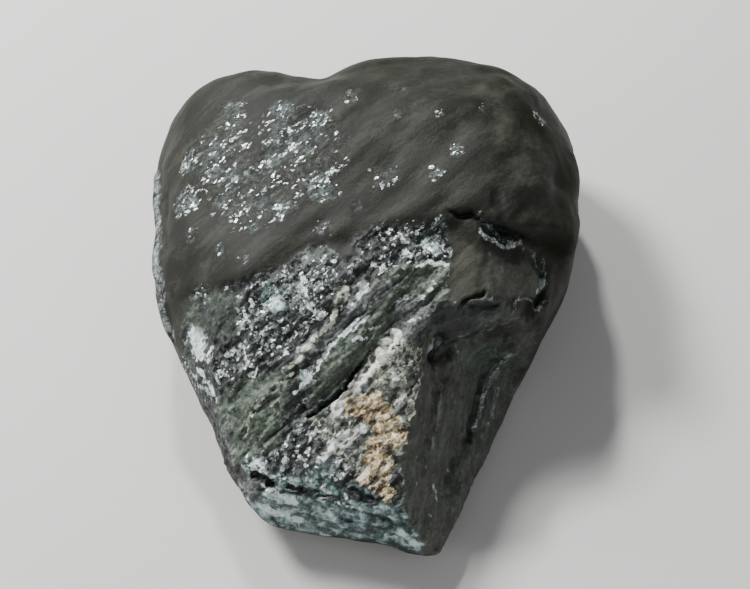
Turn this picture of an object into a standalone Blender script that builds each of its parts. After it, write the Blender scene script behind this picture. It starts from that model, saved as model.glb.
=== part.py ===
"""Obsidian chunk: a heart-shaped lump of dark stone, about 60 mm long, lying on its flat underside.

The broad end keeps a worn, rounded skin. Towards the narrow front the stone has split: a granular slope
runs down to a short front break, and a tall flank falls away on the right. Ledges, cracks and a pit follow
the splits. It is one natural piece, so it is one object.

Places are in millimetres on the table that the stone lies on: +X to the right, +Y away from the front
break and +Z up. A face's direction is its azimuth, anticlockwise from +X, and its dip below the
horizontal, both in degrees: 0 is level and looks up, 90 is upright, and over 90 it looks down.
"""

import math

import bmesh
import bpy
import numpy as np
from mathutils import Vector, noise
from mathutils.bvhtree import BVHTree

MM = 0.001
NAME = "obsidian_chunk"
# The seed of the noise that the cracks and ledges wander by.
SEED = 1

# The plan outline at the girdle, anticlockwise from the front tip.
OUTLINE = (
    # Foot of the flank, up the right side.
    (8.2, -28.7), (11.4, -23.5), (16.2, -11), (20.0, -1.7),
    # The right bulge.
    (23.6, 5.3), (25.5, 11.5), (25.7, 17.5), (24.6, 24.2),
    # The right lobe of the broad end.
    (20.6, 29.3), (13.4, 32.6), (6, 33.5), (-1.2, 31.5),
    # The dip between the lobes, and the left lobe.
    (-6.3, 26.8), (-12, 29.0), (-18.4, 28.7), (-23.7, 25.6),
    # The left side.
    (-26.2, 20), (-26.0, 12), (-25.4, 6), (-23.7, -1.5), (-19.8, -8.5), (-16.6, -15), (-14.6, -20.3),
    # The front break.
    (-13.4, -24.8), (-7, -25.4), (0, -26.9),
)
OUTLINE_CENTRE = (0, 2)

# The rings that the rough block is drawn through: (height, share of the outline's size).
RINGS = ((-2, 0.90), (1.5, 0.97), (4, 1.0), (9, 1.0), (15, 1.0), (21, 0.97), (28, 0.92))

# The worn faces of the pebble that the chunk was: (a point on the face, azimuth, dip).
WORN_FACES = (
    # The skin on top, and its falls to the back, the left and the right.
    ((0, 12, 24.4), 235, 7), ((0, 22.9, 24.5), 92, 30), ((-15, 14, 22.6), 187, 14),
    ((-19, 14, 21.2), 183, 30), ((-22.5, 14, 18.4), 180, 52), ((16.5, 14, 24.0), 3, 28),
    ((20.5, 14, 21.4), 3, 52), ((18.6, 24.6, 22.2), 48, 48),
    # The slope down to the front, and the chamfer on its left.
    ((-6, -0.5, 22.8), -75, 24), ((-8, -16, 14.0), -105, 30), ((-19.5, -8, 14), 207, 50),
    # The underside, where it turns up to the girdle.
    ((-25.5, 6, 8), 183, 128), ((2, 32, 8), 88, 130), ((26, 14, 7), 4, 124), ((-19, -12, 5), 208, 126),
    # The belly that it lies on.
    ((-11, 2, 0), 190, 168), ((-6, 18, 0), 112, 167), ((13, 14, 0), 25, 168), ((1, -9, 0), -84, 170),
)

# The fresh splits: the face that each left, then the faces that bound the piece which came away.
FLANK = (((4.6, -15.4, 15.0), -20, 57), ((11.0, -3.7, 20), 106, 98))
SCALLOP = (((13.0, 0.2, 21.1), -14, 48), ((12.7, 5.3, 20), 94, 84))
FRONT_BREAK = (((-2.5, -23.6, 10.6), -101, 79),)
FOOT_OF_FLANK = (((14.2, -14, 3.0), -30, 134),)
FOOT_OF_BREAK = (((-2.5, -25.8, 3.9), -103, 147),)
SPLITS = (FLANK, SCALLOP, FRONT_BREAK, FOOT_OF_FLANK, FOOT_OF_BREAK)

# Narrow cracks: (route over the surface, half width, depth).
CRACKS = (
    # Under the tongue of rock on the slope.
    (((-7.3, -14.5, 14.7), (-4.5, -13.0, 16.2), (-1.4, -10.4, 17.6), (0.7, -8.2, 18.4)), 0.7, 0.8),
    # Under the edge of the skin, around the tile that is splitting off.
    (((9.8, 6.3, 23.7), (12.4, 5.9, 23.1), (13.8, 5.5, 22.2), (15.3, 5.2, 21.2), (17.0, 5.6, 19.5)),
      0.9, 1.1),
    (((17.0, 5.6, 19.5), (18.9, 5.3, 16.7), (19.6, 3.7, 14.5), (19.2, 1.0, 14.0), (17.6, -0.6, 15.8)),
      0.9, 0.6),
    # Behind the rim on the left side.
    (((-24.9, 17.5, 14.8), (-24.2, 13.4, 16.3), (-23.9, 9.6, 16.7), (-23.5, 5.9, 17.2),
      (-23.8, 1.2, 13.8), (-22.9, -2.5, 12.4)), 1.1, 0.5),
    # Along the top of the front break.
    (((-13.2, -20.0, 10.8), (-10.9, -21.4, 10.6), (-7.5, -21.7, 11.0), (-3.9, -22.6, 11.0)), 0.9, 0.8),
)

# Ledges: (route with the low ground on its right, drop at the route, how far the low ground reaches).
LEDGES = (
    # The tongue of rock stands over the ground on both its sides.
    (((-7.3, -14.3, 14.9), (-4.5, -12.8, 16.3), (-1.4, -10.2, 17.7), (1.1, -7.5, 18.8)), 0.45, 6),
    (((8.6, 1.3, 21.6), (5.5, 0.9, 21.8), (2.7, 0.3, 22.4), (0.7, -1.2, 22.0), (-0.5, -3.0, 21.2),
      (-1.2, -5.6, 20.1), (-3.3, -6.6, 19.5), (-4.8, -8.6, 18.8), (-6.2, -10.8, 17.2),
      (-7.3, -13.1, 15.1)), 0.35, 4),
    # The hollow at the head of the flank, under the skin.
    (((5.6, -7.4, 18.4), (6.6, -6.0, 19.2), (7.8, -4.4, 19.8), (10.0, -3.6, 20.0)), 0.7, 3),
    # Scars down the flank.
    (((15.9, -4.5, 10.6), (14.2, -5.4, 6.5), (13.4, -6.8, 6.1), (12.6, -10.0, 5.4), (11.0, -13.2, 5.9),
      (9.4, -17.0, 6.1)), 0.8, 5),
    (((9.9, -7.3, 14.8), (8.7, -9.2, 13.7), (7.9, -10.9, 12.8), (7.5, -13.4, 12.6), (7.4, -15.3, 11.5),
      (6.8, -17.5, 11.2)), 0.55, 4),
    # The edge of the skin above the granular slope.
    (((-20.5, -0.1, 17.2), (-17.5, -1.0, 19.3), (-14.0, -0.9, 21.7), (-12.1, -0.1, 22.2),
      (-7.7, 3.0, 22.8), (-1.0, 4.4, 23.6), (3.9, 5.2, 24.0), (8.6, 5.3, 23.6)), 0.45, 6),
)

# Rounded pits and humps: (centre on the surface, radius, how far the surface moves out).
PITS_AND_HUMPS = (
    # The pit at the head of the flank, and the knob beside it.
    ((8.6, -6.9, 15.6), 2.5, -2.6), ((8.8, -8.7, 13.4), 1.8, -0.9), ((6.6, -7.4, 17.9), 1.3, 0.6),
    # Hollows in the skin.
    ((-5.6, 25.5, 21), 3.0, -0.7), ((-19, 9, 20), 3.6, -0.4), ((12, 20, 24), 4.5, 0.4),
)

WORN_LUMPS = (11, 0.9)  # size and height of the lumps that wear left
BROKEN_LUMPS = (4.4, 0.34)  # size and height of the lumps of the fresh splits
GRAIN = (0.66, 0.66, 0.25)  # the way the layers of the stone run
GRAIN_STRETCH = 3.2  # how much longer a lump is along the grain than across it
WANDER = (3.5, 0.55)  # size and reach of the bends that the cracks and ledges make
PEBBLE_GRID = 1.0  # spacing of the grid that the pebble is worn on
STONE_GRID = 0.5  # spacing of the grid that the splits are broken on
TRIANGLES = 9400  # what the finished solid is thinned to


def metres(point):
    """The point, given in millimetres, as a Vector in metres."""
    return Vector(point) * MM


def outward(azimuth, dip):
    """The direction that a face looks in."""
    azimuth, dip = math.radians(azimuth), math.radians(dip)
    return Vector((math.sin(dip) * math.cos(azimuth), math.sin(dip) * math.sin(azimuth), math.cos(dip)))


def rough_block():
    """A bmesh of the outline drawn up through its rings and closed at both ends."""
    block = bmesh.new()
    middle = Vector(OUTLINE_CENTRE)
    rings = []
    for height, share in RINGS:
        corners = [middle + (Vector(corner) - middle) * share for corner in OUTLINE]
        rings.append([block.verts.new(metres((*corner, height))) for corner in corners])
    for lower, upper in zip(rings, rings[1:]):
        for i in range(len(OUTLINE)):
            after = (i + 1) % len(OUTLINE)
            block.faces.new((lower[i], lower[after], upper[after], upper[i]))
    block.faces.new(reversed(rings[0]))
    block.faces.new(rings[-1])
    return block


def cut(block, point, look):
    """Takes away all of the bmesh that lies beyond the plane, and closes it with a flat face."""
    everything = block.verts[:] + block.edges[:] + block.faces[:]
    done = bmesh.ops.bisect_plane(
        block, geom=everything, plane_co=metres(point), plane_no=look, clear_outer=True, dist=0.001 * MM
    )
    rim = [item for item in done["geom_cut"] if isinstance(item, bmesh.types.BMEdge)]
    if rim:
        bmesh.ops.contextual_create(block, geom=rim)


def add_object(name, block):
    """A new object in the scene that holds the bmesh."""
    mesh = bpy.data.meshes.new(name)
    block.to_mesh(mesh)
    block.free()
    obj = bpy.data.objects.new(name, mesh)
    bpy.context.scene.collection.objects.link(obj)
    return obj


def apply_modifier(obj, kind, **settings):
    """Puts the modifier with these settings on the object and makes its result the object's mesh."""
    modifier = obj.modifiers.new(kind.title(), kind)
    for name, value in settings.items():
        setattr(modifier, name, value)
    graph = bpy.context.evaluated_depsgraph_get()
    mesh = bpy.data.meshes.new_from_object(obj.evaluated_get(graph))
    obj.modifiers.clear()
    old = obj.data
    obj.data = mesh
    bpy.data.meshes.remove(old)


def split_off(stone, faces):
    """Takes away the piece of the stone beyond the first face and within the others."""
    piece = bmesh.new()
    bmesh.ops.create_cube(piece, size=200 * MM)
    (point, azimuth, dip), *bounds = faces
    cut(piece, point, -outward(azimuth, dip))
    for point, azimuth, dip in bounds:
        cut(piece, point, outward(azimuth, dip))
    cutter = add_object("piece", piece)
    apply_modifier(stone, "BOOLEAN", object=cutter, operation="DIFFERENCE")
    bpy.data.objects.remove(cutter)


def read_surface(obj):
    """The object's points and their normals, as two arrays, the points in millimetres."""
    mesh = obj.data
    points = np.empty(len(mesh.vertices) * 3)
    normals = np.empty(len(mesh.vertices) * 3)
    mesh.vertices.foreach_get("co", points)
    mesh.vertex_normals.foreach_get("vector", normals)
    return points.reshape(-1, 3) / MM, normals.reshape(-1, 3)


def move_out(obj, points, normals, rise):
    """Moves each point of the object along its normal by its rise in millimetres."""
    obj.data.vertices.foreach_set("co", ((points + normals * rise[:, None]) * MM).ravel())
    obj.data.update()


def lumps(points, size, height):
    """A rise for each point that makes lumps of this size and height, drawn out along the grain."""
    grain = Vector(GRAIN).normalized()
    shrink = 1 - 1 / GRAIN_STRETCH
    rise = np.empty(len(points))
    for i, point in enumerate(points):
        place = Vector(point)
        place -= grain * place.dot(grain) * shrink
        rise[i] = noise.fractal(place / size, 0.8, 2.1, 3, noise_basis="PERLIN_ORIGINAL")
    return rise * height


def wandering(points):
    """The points, each moved a little by a smooth noise, so that a line through them wanders."""
    size, reach = WANDER
    bends = [noise.noise_vector(Vector(point) / size, noise_basis="PERLIN_ORIGINAL") for point in points]
    return points + np.array(bends) * reach


def fade(distance):
    """1 at a distance of 0, falling smoothly to 0 at a distance of 1 and beyond."""
    left = np.clip(1 - distance, 0, 1)
    return left * left * (3 - 2 * left)


def snapped(route, surface):
    """The route's points, each moved to the nearest point of the surface, in millimetres."""
    return [np.array(surface.find_nearest(metres(point))[0]) / MM for point in route]


def beside(route, points, normals):
    """How far each point is from the route, and how far it is to the route's right."""
    nearest = np.full(len(points), np.inf)
    right = np.zeros(len(points))
    for start, end in zip(route, route[1:]):
        along = end - start
        share = np.clip((points - start) @ along / (along @ along), 0, 1)
        away = points - (start + share[:, None] * along)
        distance = np.linalg.norm(away, axis=1)
        sideways = np.einsum("ij,ij->i", away, np.cross(along / np.linalg.norm(along), normals))
        closer = distance < nearest
        nearest = np.where(closer, distance, nearest)
        right = np.where(closer, sideways, right)
    return nearest, right


def relief(stone, points, normals):
    """The rise of the cracks, ledges, pits and humps at each point."""
    surface = BVHTree.FromObject(stone, bpy.context.evaluated_depsgraph_get())
    points = wandering(points)
    rise = np.zeros(len(points))
    for route, half_width, depth in CRACKS:
        distance, _ = beside(snapped(route, surface), points, normals)
        rise -= depth * fade(distance / half_width)
    for route, drop, reach in LEDGES:
        distance, right = beside(snapped(route, surface), points, normals)
        low = np.clip(right / (1.6 * STONE_GRID) + 0.5, 0, 1)
        rise -= drop * low * fade(distance / reach)
    for centre, radius, height in PITS_AND_HUMPS:
        middle = snapped([centre], surface)[0]
        rise += height * fade(np.linalg.norm(points - middle, axis=1) / radius)
    return rise


def rest_on_table(stone):
    """Cuts the underside flat at the table, and centres the stone over the origin."""
    block = bmesh.new()
    block.from_mesh(stone.data)
    cut(block, (0, 0, 0), Vector((0, 0, -1)))
    low = Vector([min(vertex.co[axis] for vertex in block.verts) for axis in range(3)])
    high = Vector([max(vertex.co[axis] for vertex in block.verts) for axis in range(3)])
    middle = (low + high) / 2
    bmesh.ops.translate(block, verts=block.verts, vec=(-middle.x, -middle.y, 0))
    block.to_mesh(stone.data)
    block.free()


def dress(stone):
    """Gives the stone its material and smooth shading."""
    material = bpy.data.materials.new("dark_stone")
    material.use_nodes = True
    finish = material.node_tree.nodes["Principled BSDF"]
    finish.inputs["Base Color"].default_value = (0.035, 0.036, 0.033, 1)
    finish.inputs["Metallic"].default_value = 0
    finish.inputs["Roughness"].default_value = 0.42
    stone.data.materials.append(material)
    stone.data.shade_smooth()


def main():
    for obj in list(bpy.data.objects):
        bpy.data.objects.remove(obj)
    noise.seed_set(SEED)
    block = rough_block()
    for point, azimuth, dip in WORN_FACES:
        cut(block, point, outward(azimuth, dip))
    stone = add_object(NAME, block)
    apply_modifier(stone, "REMESH", mode="VOXEL", voxel_size=PEBBLE_GRID * MM)
    apply_modifier(stone, "SMOOTH", factor=0.5, iterations=36)
    points, normals = read_surface(stone)
    move_out(stone, points, normals, lumps(points, *WORN_LUMPS))
    for faces in SPLITS:
        split_off(stone, faces)
    apply_modifier(stone, "REMESH", mode="VOXEL", voxel_size=STONE_GRID * MM)
    apply_modifier(stone, "SMOOTH", factor=0.5, iterations=5)
    points, normals = read_surface(stone)
    move_out(stone, points, normals, relief(stone, points, normals) + lumps(points, *BROKEN_LUMPS))
    apply_modifier(stone, "SMOOTH", factor=0.5, iterations=2)
    rest_on_table(stone)
    faces = sum(len(face.vertices) - 2 for face in stone.data.polygons)
    apply_modifier(stone, "DECIMATE", ratio=TRIANGLES / faces)
    dress(stone)


main()
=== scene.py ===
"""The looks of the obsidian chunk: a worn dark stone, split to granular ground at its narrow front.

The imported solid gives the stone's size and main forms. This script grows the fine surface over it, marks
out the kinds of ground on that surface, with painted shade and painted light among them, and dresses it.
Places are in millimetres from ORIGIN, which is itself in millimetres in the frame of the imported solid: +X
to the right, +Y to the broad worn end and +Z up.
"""

import logging
import math
from dataclasses import dataclass
from enum import Enum

import bpy
import numpy as np
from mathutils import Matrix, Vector, noise
from mathutils.bvhtree import BVHTree


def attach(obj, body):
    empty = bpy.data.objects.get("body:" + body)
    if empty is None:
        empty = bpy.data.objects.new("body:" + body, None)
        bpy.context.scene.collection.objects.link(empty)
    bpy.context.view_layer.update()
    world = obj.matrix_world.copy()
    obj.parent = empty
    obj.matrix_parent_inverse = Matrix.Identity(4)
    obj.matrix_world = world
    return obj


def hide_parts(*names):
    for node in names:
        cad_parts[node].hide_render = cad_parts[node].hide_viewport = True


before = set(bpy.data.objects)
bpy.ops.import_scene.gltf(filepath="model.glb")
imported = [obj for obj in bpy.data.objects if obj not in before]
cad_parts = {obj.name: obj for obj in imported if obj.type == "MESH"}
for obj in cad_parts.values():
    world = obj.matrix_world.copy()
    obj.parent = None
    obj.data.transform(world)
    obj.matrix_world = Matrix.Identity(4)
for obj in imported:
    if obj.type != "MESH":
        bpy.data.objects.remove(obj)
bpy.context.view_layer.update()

MM = 0.001
ABOVE = 60.0
ORIGIN = np.array((-0.01, -0.87, 0.0))
NODE = "obsidian_chunk"
BODY = "root"

Place = tuple[float, ...]
Route = tuple[Place, ...]
Outline = tuple[tuple[float, float], ...]
Colour = tuple[float, float, float]
Stops = tuple[tuple[float, Colour], ...]
Inputs = dict[str | int, object]
Socket = bpy.types.NodeSocket

# The middle of a noise's colour, and how far its grain carries the borders of the colours.
MIDDLE = (0.5, 0.5, 0.5)
FRAY = 1.5

log = logging.getLogger("obsidian_chunk")


class Zone(Enum):
    """The zones that dress the stone: kinds of ground, with painted shade and painted light among them. Each
    is a number from 0 to 1 at every point of its surface.
    """

    SPLIT = "split"
    FLANK = "flank"
    BREAK = "break"
    PITTED = "pitted"
    GLITTER = "glitter"
    GREEN = "green"
    PALE = "pale"
    CREAM = "cream"
    OCHRE = "ochre"
    OLIVE = "olive"
    DARK = "dark"
    EDGE = "edge"
    LIGHT = "light"
    ASH = "ash"
    TEAL = "teal"
    HOLLOW = "hollow"


def smooth_step(low: float, high: float, value: np.ndarray) -> np.ndarray:
    """Rises smoothly from 0 to 1 as the value passes from low to high.

    Args:
        low: Where the rise begins.
        high: Where it ends.
        value: The values to place.

    Returns:
        A share from 0 to 1 for each value.
    """
    share = np.clip((value - low) / (high - low), 0, 1)
    return share * share * (3 - 2 * share)


def in_metres(place: Place) -> Vector:
    """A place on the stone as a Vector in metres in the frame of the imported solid."""
    return Vector(np.add(place, ORIGIN)) * MM


def pick_only(obj: bpy.types.Object) -> None:
    """Leaves this one object selected and active."""
    bpy.ops.object.select_all(action="DESELECT")
    obj.select_set(True)
    bpy.context.view_layer.objects.active = obj


def apply_modifier(obj: bpy.types.Object, kind: str, **settings: object) -> None:
    """Adds a modifier to the object and applies it.

    Args:
        obj: The object that gets the modifier.
        kind: The modifier's type, such as "SMOOTH".
        **settings: The modifier's own settings.
    """
    pick_only(obj)
    modifier = obj.modifiers.new(kind.title(), kind)
    for name, value in settings.items():
        setattr(modifier, name, value)
    bpy.ops.object.modifier_apply(modifier=modifier.name)


def corners_of(mesh: bpy.types.Mesh) -> tuple[np.ndarray, np.ndarray]:
    """Reads the corners of a mesh.

    Args:
        mesh: The mesh as it now is.

    Returns:
        The place of each corner in millimetres, and its normal.
    """
    places = np.empty(len(mesh.vertices) * 3)
    normals = np.empty(len(mesh.vertices) * 3)
    mesh.vertices.foreach_get("co", places)
    mesh.vertex_normals.foreach_get("vector", normals)
    return places.reshape(-1, 3) / MM, normals.reshape(-1, 3)


def from_stretch(points: np.ndarray, start: np.ndarray, end: np.ndarray) -> np.ndarray:
    """Measures points against a straight stretch.

    Args:
        points: What is measured.
        start: Where the stretch begins.
        end: Where it ends.

    Returns:
        The way to each point from the nearest point of the stretch.
    """
    along = end - start
    share = np.clip((points - start) @ along / (along @ along), 0, 1)
    return points - (start + share[:, None] * along)


class Ground:
    """The surface of the stone as arrays of points and normals, with the measures that carving needs."""

    def __init__(self, stone: bpy.types.Object) -> None:
        """Reads the stone's mesh as it now is.

        Args:
            stone: The object whose mesh is measured and moved.
        """
        self.stone = stone
        places, self.normals = corners_of(stone.data)
        self.points = places - ORIGIN
        self._tree = BVHTree.FromObject(stone, bpy.context.evaluated_depsgraph_get())

    def snapped(self, route: Route) -> list[np.ndarray]:
        """Lays a route on the surface.

        Args:
            route: The places. One of two numbers is seen from above, and one of three is near the surface.

        Returns:
            The point of the surface below or nearest to each place.
        """
        below, found = Vector((0, 0, -1)), []
        for place in route:
            if len(place) == 2:
                hit = self._tree.ray_cast(in_metres((*place, ABOVE)), below)[0]
            else:
                hit = self._tree.find_nearest(in_metres(place))[0]
            found.append(np.array(hit) / MM - ORIGIN)
        return found

    def around(self, centre: Place, stray: np.ndarray) -> np.ndarray:
        """How far each point, once it has strayed, is from the surface at this place."""
        return np.linalg.norm(self.points + stray - self.snapped((centre,))[0], axis=1)

    def beside(self, route: Route, stray: np.ndarray) -> tuple[np.ndarray, np.ndarray]:
        """Measures every point of the surface against a route over it.

        Args:
            route: Where the route runs.
            stray: What is added to the points first, so that the route wanders.

        Returns:
            How far each point is from the route, and how far it lies to the route's right.
        """
        corners = self.snapped(route)
        points = self.points + stray
        nearest = np.full(len(points), np.inf)
        right = np.zeros(len(points))
        for start, end in zip(corners, corners[1:]):
            away = from_stretch(points, start, end)
            distance = np.linalg.norm(away, axis=1)
            along = end - start
            across = np.cross(along / np.linalg.norm(along), self.normals)
            closer = distance < nearest
            nearest = np.where(closer, distance, nearest)
            right = np.where(closer, np.einsum("ij,ij->i", away, across), right)
        return nearest, right

    def inside(self, outline: Outline, stray: np.ndarray | float = 0) -> np.ndarray:
        """Measures every point of the surface against an outline drawn from above.

        Args:
            outline: The outline.
            stray: What is added to the points first, so that the outline wanders.

        Returns:
            How far each point lies inside the outline, less than 0 outside it.
        """
        points = (self.points + stray)[:, :2]
        nearest = np.full(len(points), np.inf)
        within = np.zeros(len(points), bool)
        corners = np.array(outline)
        for start, end in zip(corners, np.roll(corners, -1, axis=0)):
            nearest = np.minimum(nearest, np.linalg.norm(from_stretch(points, start, end), axis=1))
            crosses = (start[1] > points[:, 1]) != (end[1] > points[:, 1])
            along, rise = end - start
            edge = start[0] + (points[:, 1] - start[1]) * along / (rise or 1.0)
            within ^= crosses & (points[:, 0] < edge)
        return np.where(within, nearest, -nearest)

    def facing(self, azimuth: float, dip: float) -> np.ndarray:
        """Measures how squarely each point faces one way.

        Args:
            azimuth: The bearing of that way in degrees, from +X to +Y.
            dip: How far it leans from straight up, in degrees.

        Returns:
            A number from -1 to 1 for each point.
        """
        turn, tilt = math.radians(azimuth), math.radians(dip)
        way = (math.sin(tilt) * math.cos(turn), math.sin(tilt) * math.sin(turn), math.cos(tilt))
        return self.normals @ way

    def move_out(self, rise: np.ndarray) -> None:
        """Moves each point along its normal by its rise in millimetres."""
        moved = (self.points + ORIGIN + self.normals * rise[:, None]) * MM
        self.stone.data.vertices.foreach_set("co", moved.ravel())
        self.stone.data.update()

    def mark(self, zone: Zone, share: np.ndarray) -> None:
        """Stores a share from 0 to 1 at each point as the zone's attribute."""
        attribute = self.stone.data.attributes.new(zone.value, "FLOAT", "POINT")
        attribute.data.foreach_set("value", np.clip(share, 0, 1).astype(np.float32))


@dataclass(frozen=True)
class Grain:
    """The way the layers of the stone run, and how far they draw its texture out.

    Attributes:
        along: The direction of the layers.
        stretch: How much longer a lump is along the layers than across them.
    """

    along: Place = (0.72, 0.56, 0.30)
    stretch: float = 3.0

    def folded(self, points: np.ndarray) -> np.ndarray:
        """The points with their distance along the grain shortened, so that noise read there is drawn out."""
        along = np.array(self.along) / np.linalg.norm(self.along)
        return points - np.outer(points @ along, along) * (1 - 1 / self.stretch)


def lumps(points: np.ndarray, size: float, depth: int = 3) -> np.ndarray:
    """Rounded lumps from about -1 to 1.

    Args:
        points: Where the noise is read.
        size: The size of the largest lumps, in the units of the points.
        depth: How many times finer lumps are added.

    Returns:
        A height for each point.
    """
    basis = "PERLIN_ORIGINAL"
    return np.array([noise.fractal(Vector(p) / size, 0.85, 2.1, depth, noise_basis=basis) for p in points])


def sway(points: np.ndarray, size: float, reach: float) -> np.ndarray:
    """A smooth wandering offset for each point, at most about the reach long."""
    basis = "PERLIN_ORIGINAL"
    return np.array([noise.noise_vector(Vector(p) / size, noise_basis=basis) for p in points]) * reach


@dataclass(frozen=True)
class Wander:
    """How far each point strays when borders are drawn, so that none of them is clean.

    Attributes:
        broad: The slow straying, which only wide brushes follow in full.
        fine: The quick straying, which frays the edges of narrow ones too.
    """

    broad: np.ndarray
    fine: np.ndarray

    def at(self, width: float) -> np.ndarray:
        """The straying for a brush of this width in millimetres."""
        return self.broad * min(1, width / 2) + self.fine * min(1, width / 0.7)


def crystals(points: np.ndarray, size: float, tilt: float) -> np.ndarray:
    """Packed grains with flat tops, each at its own level and with its own slant.

    Args:
        points: Where the grains are read.
        size: How wide a grain is.
        tilt: How much a top slants, against the spread of the levels.

    Returns:
        A height for each point, about -0.5 to 0.5.
    """
    heights = np.empty(len(points))
    for i, point in enumerate(points):
        place = Vector(point) / size
        centre = noise.voronoi(place)[1][0]
        key = noise.cell_vector(centre * 97)
        heights[i] = key.x - 0.5 + tilt * (key - Vector((0.5, 0.5, 0.5))).dot(place - centre)
    return heights


def terraces(height: np.ndarray, step: float, sharpness: float = 0.75) -> np.ndarray:
    """Turns smooth heights into flat treads with steep risers between them.

    Args:
        height: The smooth heights.
        step: The height of a riser.
        sharpness: How much of a tread is flat.

    Returns:
        The stepped heights.
    """
    level = height / step
    tread = np.floor(level)
    return (tread + smooth_step(sharpness, 1, level - tread)) * step


@dataclass(frozen=True)
class Crack:
    """A narrow cleft along a route."""

    route: Route
    half_width: float
    depth: float

    def rise(self, ground: Ground, wander: np.ndarray) -> np.ndarray:
        """How far the cleft moves each point out, which is below 0."""
        distance, _ = ground.beside(self.route, wander)
        return -self.depth * (1 - smooth_step(0.15, 1, distance / self.half_width))


@dataclass(frozen=True)
class Ledge:
    """A step along a route, with the low ground on the route's right."""

    route: Route
    drop: float
    reach: float
    riser: float = 0.35

    def rise(self, ground: Ground, wander: np.ndarray) -> np.ndarray:
        """Lowers the ground on one side.

        Args:
            ground: The surface.
            wander: How far each point strays first.

        Returns:
            How far the step moves each point out, which is below 0 on its low side.
        """
        distance, right = ground.beside(self.route, wander)
        low = smooth_step(-self.riser / 2, self.riser / 2, right)
        return -self.drop * low * (1 - smooth_step(0, 1, distance / self.reach))


@dataclass(frozen=True)
class Lump:
    """A round hump, or with a height below 0 a round hollow."""

    centre: Place
    radius: float
    height: float

    def rise(self, ground: Ground, wander: np.ndarray) -> np.ndarray:
        """How far the hump moves each point out."""
        return self.height * (1 - smooth_step(0, 1, ground.around(self.centre, wander) / self.radius))


@dataclass(frozen=True)
class Patch:
    """Ground inside an outline drawn from above."""

    outline: Outline
    border: float = 0.8
    share: float = 1.0

    def cover(self, ground: Ground, wander: Wander) -> np.ndarray:
        """Covers ground.

        Args:
            ground: The surface.
            wander: How far each point strays first.

        Returns:
            How much each point belongs to the patch.
        """
        inside = ground.inside(self.outline, wander.at(self.border))
        looks_up = smooth_step(-0.05, 0.2, ground.normals[:, 2])
        return self.share * smooth_step(-self.border / 2, self.border / 2, inside) * looks_up


@dataclass(frozen=True)
class Streak:
    """Ground along a route, which fades to both sides."""

    route: Route
    half_width: float
    share: float = 1.0

    def cover(self, ground: Ground, wander: Wander) -> np.ndarray:
        """How much each point belongs to the streak."""
        distance, _ = ground.beside(self.route, wander.at(self.half_width))
        return self.share * (1 - smooth_step(0.4, 1, distance / self.half_width))


@dataclass(frozen=True)
class Spot:
    """Ground around one place, which fades outwards."""

    centre: Place
    radius: float
    share: float = 1.0

    def cover(self, ground: Ground, wander: Wander) -> np.ndarray:
        """How much each point belongs to the spot."""
        distance = ground.around(self.centre, wander.at(self.radius))
        return self.share * (1 - smooth_step(0.3, 1, distance / self.radius))


# Routes over the stone that more than one feature follows.
TONGUE_CRACK: Route = (
    (-6.8, -16.9, 14.7), (-6, -16.3, 15.3), (-4.2, -15.3, 16.2), (-2.5, -14.4, 16.8), (-1.1, -12.7, 17.6),
    (0.4, -11, 18.3), (1.4, -10, 18.7), (2.7, -8.6, 19.1), (3.6, -7.8, 19.3),
)
TONGUE_BACK: Route = (
    (0.4, -7.3, 20.4), (-1.3, -8.2, 20.1), (-2.6, -9.1, 19.6), (-4.1, -10.3, 19), (-5.1, -11.6, 18.2),
    (-5.5, -12.9, 17.2), (-6.3, -13.6, 16.7), (-6.9, -14.4, 15.9), (-6.9, -15.5, 15.1), (-6.4, -16.6, 15),
)
NOTCH_GAP: Route = (
    (9, 4.3, 23.3), (10.5, 4.1, 23.1), (11.6, 4.2, 23.4), (12.7, 3.7, 22.9), (14.1, 3.3, 22),
    (15.6, 3.1, 21.1), (17.3, 3.4, 19.4),
)
NOTCH_LIP: Route = (
    (12.7, 2.5, 22.8), (13, 1.9, 22.4), (13.8, 2, 21.6), (14.6, 1.9, 20.9), (15.3, 1.9, 20),
    (15.9, 2.4, 19.5), (16.4, 2.9, 19.3), (17.4, 3.6, 18.6),
)
NOTCH_TAIL: Route = (
    (17.8, 3.2, 17.9), (18.4, 3.5, 17), (19, 3.4, 16.1), (19.3, 2.9, 15.5), (19.6, 2.3, 15),
)
NOTCH_GROOVE: Route = (
    (20.2, 1.7, 14.4), (20, 0.6, 14.2), (19.9, -0.5, 14), (19.6, -1.6, 14.1), (19.3, -2.6, 14.4),
)
LOW_LEDGE: Route = (
    (16.6, -4, 16.9), (16.9, -3.2, 16.7), (17.6, -2.5, 15.8), (18.2, -2.2, 15.1), (18.7, -2.3, 14.6),
    (18.8, -3.2, 14.8), (19.4, -3, 14.3), (20, -2.3, 13.9), (20.4, -1.7, 13.7),
)
SCAR_OUTER: Route = (
    (16.4, -6.2, 9.4), (15.7, -6.5, 8.2), (15.1, -6.8, 7), (14.4, -7.6, 6.3), (13.9, -8.6, 6.1),
    (13.3, -9.7, 6.1), (13.2, -10.8, 5.8), (13, -12, 5.5), (12.5, -13.1, 5.6), (12.1, -14, 5.7),
)
SCAR_SHADE: Route = (
    (14.8, -6.8, 8), (14, -7.7, 7), (13.4, -8.8, 6.8), (12.9, -9.9, 6.7), (12.8, -11, 6.5),
    (12.6, -12.1, 6.3), (12.1, -13.2, 6.3), (11.7, -15, 5.9), (10.9, -16, 6.1),
)
SCAR_INNER: Route = (
    (8.9, -11.4, 12.2), (8.1, -13.2, 12.7), (7.9, -14.9, 12.3), (7.8, -16.4, 11.5), (7.8, -18.3, 10.4),
    (8.1, -19, 9.3),
)
SPINE: Route = (
    (5.7, -13.4, 15.7), (5, -15.2, 15.6), (4.8, -16.4, 15.3), (4, -17.5, 15.1), (3.9, -18.5, 14.6),
    (3.4, -19.5, 14.3), (3.3, -20.6, 14),
)
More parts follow.
